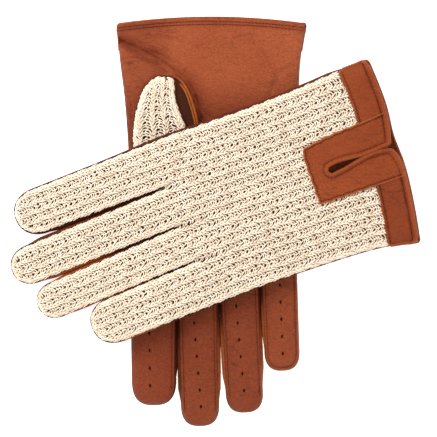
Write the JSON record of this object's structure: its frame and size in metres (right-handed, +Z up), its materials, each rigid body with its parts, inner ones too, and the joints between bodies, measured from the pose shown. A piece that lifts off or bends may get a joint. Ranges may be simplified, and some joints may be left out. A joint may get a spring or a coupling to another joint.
{
  "type": "pair of driving gloves",
  "caption": "pair of tan leather driving gloves with cream crochet cotton backs, perforated fingers and short vented cuffs, one lying palm up and the other across it",
  "frame": {"origin": "middle of the pair's footprint, on the surface the lower glove lies on", "axes": "+Z up out of the palm of the lower glove, -Y along the lower glove's fingers, +X to the side of its little finger"},
  "size_m": [0.2447, 0.245, 0.0253],
  "materials": {
    "palm_leather": "satin grained",
    "trim_leather": "satin grained",
    "fourchette_leather": "matt",
    "crochet_cotton": "matt crochet"
  },
  "bodies": {
    "right_hand": {"right_palm_leather": "palm_leather", "right_thumb_side_wall": "fourchette_leather", "right_fourchette_index_middle": "fourchette_leather", "right_fourchette_middle_ring": "fourchette_leather", "right_fourchette_ring_little": "fourchette_leather", "right_little_side_wall": "fourchette_leather", "right_crochet_back": "crochet_cotton", "right_cuff_band_thumb_side": "trim_leather", "right_cuff_band_little_side": "trim_leather", "right_vent_patch": "trim_leather", "right_vent_binding": "trim_leather", "right_thumb_welt": "trim_leather"},
    "right_index_finger": {"right_index_leather": "palm_leather", "right_index_crochet": "crochet_cotton", "right_index_fourchette": "fourchette_leather"},
    "right_middle_finger": {"right_middle_leather": "palm_leather", "right_middle_crochet": "crochet_cotton", "right_middle_fourchette": "fourchette_leather"},
    "right_ring_finger": {"right_ring_leather": "palm_leather", "right_ring_crochet": "crochet_cotton", "right_ring_fourchette": "fourchette_leather"},
    "right_little_finger": {"right_little_leather": "palm_leather", "right_little_crochet": "crochet_cotton", "right_little_fourchette": "fourchette_leather"},
    "right_thumb": {"right_thumb_leather": "palm_leather", "right_thumb_crochet": "crochet_cotton", "right_thumb_side": "fourchette_leather"},
    "left_hand": {"left_palm_leather": "palm_leather", "left_thumb_side_wall": "fourchette_leather", "left_fourchette_index_middle": "fourchette_leather", "left_fourchette_middle_ring": "fourchette_leather", "left_fourchette_ring_little": "fourchette_leather", "left_little_side_wall": "fourchette_leather", "left_crochet_back": "crochet_cotton", "left_cuff_band_thumb_side": "trim_leather", "left_cuff_band_little_side": "trim_leather", "left_vent_patch": "trim_leather", "left_vent_binding": "trim_leather", "left_thumb_welt": "trim_leather"},
    "left_index_finger": {"left_index_leather": "palm_leather", "left_index_crochet": "crochet_cotton", "left_index_fourchette": "fourchette_leather"},
    "left_middle_finger": {"left_middle_leather": "palm_leather", "left_middle_crochet": "crochet_cotton", "left_middle_fourchette": "fourchette_leather"},
    "left_ring_finger": {"left_ring_leather": "palm_leather", "left_ring_crochet": "crochet_cotton", "left_ring_fourchette": "fourchette_leather"},
    "left_little_finger": {"left_little_leather": "palm_leather", "left_little_crochet": "crochet_cotton", "left_little_fourchette": "fourchette_leather"},
    "left_thumb": {"left_thumb_leather": "palm_leather", "left_thumb_crochet": "crochet_cotton", "left_thumb_side": "fourchette_leather"}
  },
  "joints": [
    {"name": "left_glove_lift", "type": "slide", "parent": "right_hand", "child": "left_hand", "axis": [0, 0, 1], "range_m": [0, 0.12]},
    {"name": "right_index_fold", "type": "hinge", "parent": "right_hand", "child": "right_index_finger", "pos_m": [-0.0374, -0.0765, 0.009], "axis": [-1, -0.007, 0], "range_deg": [0, 75]},
    {"name": "right_middle_fold", "type": "hinge", "parent": "right_hand", "child": "right_middle_finger", "pos_m": [-0.01034, -0.06748, 0.009], "axis": [-0.9997, -0.0244, 0], "range_deg": [0, 75]},
    {"name": "right_ring_fold", "type": "hinge", "parent": "right_hand", "child": "right_ring_finger", "pos_m": [0.01533, -0.06043, 0.009], "axis": [-0.9988, -0.0488, 0], "range_deg": [0, 75]},
    {"name": "right_little_fold", "type": "hinge", "parent": "right_hand", "child": "right_little_finger", "pos_m": [0.03886, -0.04746, 0.009], "axis": [-0.9993, -0.0384, 0], "range_deg": [0, 75]},
    {"name": "right_thumb_swing", "type": "hinge", "parent": "right_hand", "child": "right_thumb", "pos_m": [-0.033, 0.0765, 0.009], "axis": [0, 0, -1], "range_deg": [0, 25]},
    {"name": "left_index_fold", "type": "hinge", "parent": "left_hand", "child": "left_index_finger", "pos_m": [-0.07448, 0.01885, 0.0253], "axis": [-0.3581, 0.9337, 0], "range_deg": [0, 65]},
    {"name": "left_middle_fold", "type": "hinge", "parent": "left_hand", "child": "left_middle_finger", "pos_m": [-0.06962, -0.00866, 0.0253], "axis": [-0.3772, 0.9261, 0], "range_deg": [0, 65]},
    {"name": "left_ring_fold", "type": "hinge", "parent": "left_hand", "child": "left_ring_finger", "pos_m": [-0.059, -0.03095, 0.0253], "axis": [-0.3929, 0.9196, 0], "range_deg": [0, 65]},
    {"name": "left_little_fold", "type": "hinge", "parent": "left_hand", "child": "left_little_finger", "pos_m": [-0.03827, -0.04964, 0.0253], "axis": [-0.3762, 0.9265, 0], "range_deg": [0, 65]},
    {"name": "left_thumb_swing", "type": "hinge", "parent": "left_hand", "child": "left_thumb", "pos_m": [0.05693, 0.06039, 0.0163], "axis": [0, 0, -1], "range_deg": [0, 25]}
  ]
}
